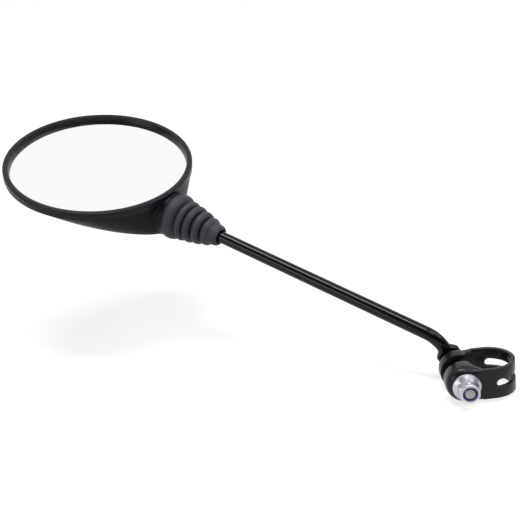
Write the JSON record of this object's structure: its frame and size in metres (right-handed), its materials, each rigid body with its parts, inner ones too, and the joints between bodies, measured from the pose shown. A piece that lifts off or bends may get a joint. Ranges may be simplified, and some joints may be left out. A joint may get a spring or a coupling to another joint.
{
  "type": "scooter mirror",
  "caption": "Round convex rear-view mirror on a bent rod with a ball joint under a ribbed boot and a strap clamp for a handlebar.",
  "frame": {"origin": "centre of the handlebar bore, at mid height of the clamp band", "axes": "+Z along the handlebar, +X from the clamp bolt to the closed end of the strap, -Y to the nut; the glass faces mostly up"},
  "size_m": [0.2841, 0.2061, 0.148],
  "materials": {
    "strap_paint": "semi-gloss black paint",
    "arm_paint": "gloss black paint",
    "zinc": "bright zinc plate",
    "nylon": "blue-violet nylon",
    "ball_steel": "polished steel",
    "seat_plastic": "natural acetal",
    "plug_plastic": "black plastic",
    "boot_rubber": "matt dark grey rubber",
    "housing_plastic": "fine-grained black plastic",
    "bezel_plastic": "satin black plastic",
    "silvered_glass": "convex mirror glass",
    "foam": "grey foam"
  },
  "bodies": {
    "clamp": {"clamp_strap": "strap_paint", "clamp_bolt": "zinc", "bolt_washer": "zinc", "flange_nut": "zinc", "nylon_insert": "nylon"},
    "arm": {"mirror_arm": "arm_paint", "arm_ball": "ball_steel"},
    "boot": {"rubber_boot": "boot_rubber"},
    "seat": {"ball_seat": "seat_plastic"},
    "head": {"mirror_housing": "housing_plastic", "bezel_ring": "bezel_plastic", "mirror_glass": "silvered_glass", "glass_pad": "foam", "pressure_spring": "ball_steel", "spring_plug": "plug_plastic"}
  },
  "joints": [
    {"name": "arm_swing", "type": "hinge", "parent": "clamp", "child": "arm", "pos_m": [-0.0141, 0, 0], "axis": [0, 1, 0], "range_deg": [-155, 35]},
    {"name": "ball_twist", "type": "hinge", "parent": "arm", "child": "boot", "pos_m": [-0.16567, 0.10329, 0.07836], "axis": [0.7973, -0.4905, -0.3518], "continuous": true},
    {"name": "ball_tilt", "type": "hinge", "parent": "boot", "child": "seat", "pos_m": [-0.16567, 0.10329, 0.07836], "axis": [0.5758, 0.7929, 0.1994], "range_deg": [-15, 15], "deforming": ["rubber_boot"]},
    {"name": "ball_roll", "type": "hinge", "parent": "seat", "child": "head", "pos_m": [-0.16567, 0.10329, 0.07836], "axis": [0.7973, -0.4905, -0.3518], "continuous": true}
  ]
}
